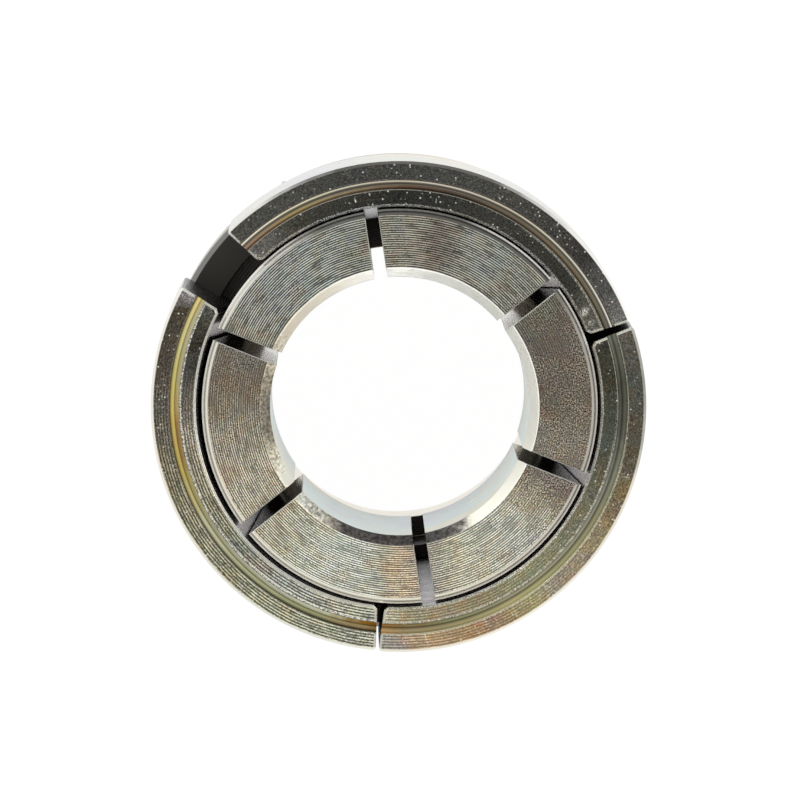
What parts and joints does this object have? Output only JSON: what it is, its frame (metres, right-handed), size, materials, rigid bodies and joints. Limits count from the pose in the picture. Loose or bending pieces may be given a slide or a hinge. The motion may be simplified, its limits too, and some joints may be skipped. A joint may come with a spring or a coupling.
{
  "type": "keyless shaft bushing",
  "caption": "Keyless locking bushing: a nut drives tapered outer segments up a slit collet, so it grips a shaft inside and a hub bore outside.",
  "frame": {"origin": "on the shaft axis, at the collet's threaded tail end, which is the face the bushing stands on", "axes": "+Z along the shaft axis from the nut towards the front face of the segments; +X and +Y across it, with segment B on the -X side and segment A on the +Y side"},
  "size_m": [0.0382, 0.0379, 0.036],
  "materials": {
    "ring_steel": "turned, zinc plated with a thin yellow passivate",
    "segment_steel": "turned, zinc plated with a yellow passivate, darker and glossier",
    "washer_steel": "ground",
    "nut_steel": "turned, zinc plated"
  },
  "bodies": {
    "inner_ring": {"inner_ring": "ring_steel"},
    "thrust_washer": {"thrust_washer": "washer_steel"},
    "clamp_nut": {"clamp_nut": "nut_steel"},
    "outer_segment_a": {"outer_segment_a": "segment_steel"},
    "outer_segment_b": {"outer_segment_b": "segment_steel"},
    "outer_segment_c": {"outer_segment_c": "segment_steel"}
  },
  "joints": [
    {"name": "nut_advance", "type": "slide", "parent": "inner_ring", "child": "thrust_washer", "axis": [0, 0, 1], "range_m": [0, 0.00301]},
    {"name": "nut_turn", "type": "hinge", "parent": "thrust_washer", "child": "clamp_nut", "pos_m": [0, 0, 0.01], "axis": [0, 0, 1], "range_deg": [0, 720]},
    {"name": "segment_a_climb", "type": "slide", "parent": "inner_ring", "child": "outer_segment_a", "axis": [0.0189, 0.0851, 0.9962], "range_m": [0, 0.00303]},
    {"name": "segment_b_climb", "type": "slide", "parent": "inner_ring", "child": "outer_segment_b", "axis": [-0.077, -0.0409, 0.9962], "range_m": [0, 0.00303]},
    {"name": "segment_c_climb", "type": "slide", "parent": "inner_ring", "child": "outer_segment_c", "axis": [0.0687, -0.0537, 0.9962], "range_m": [0, 0.00303]}
  ],
  "couplings": [
    {"joint": "nut_advance", "follows": "nut_turn", "m_per_rad": 0.00023873},
    {"joint": "segment_a_climb", "follows": "nut_turn", "m_per_rad": 0.00023964},
    {"joint": "segment_b_climb", "follows": "nut_turn", "m_per_rad": 0.00023964},
    {"joint": "segment_c_climb", "follows": "nut_turn", "m_per_rad": 0.00023964}
  ]
}
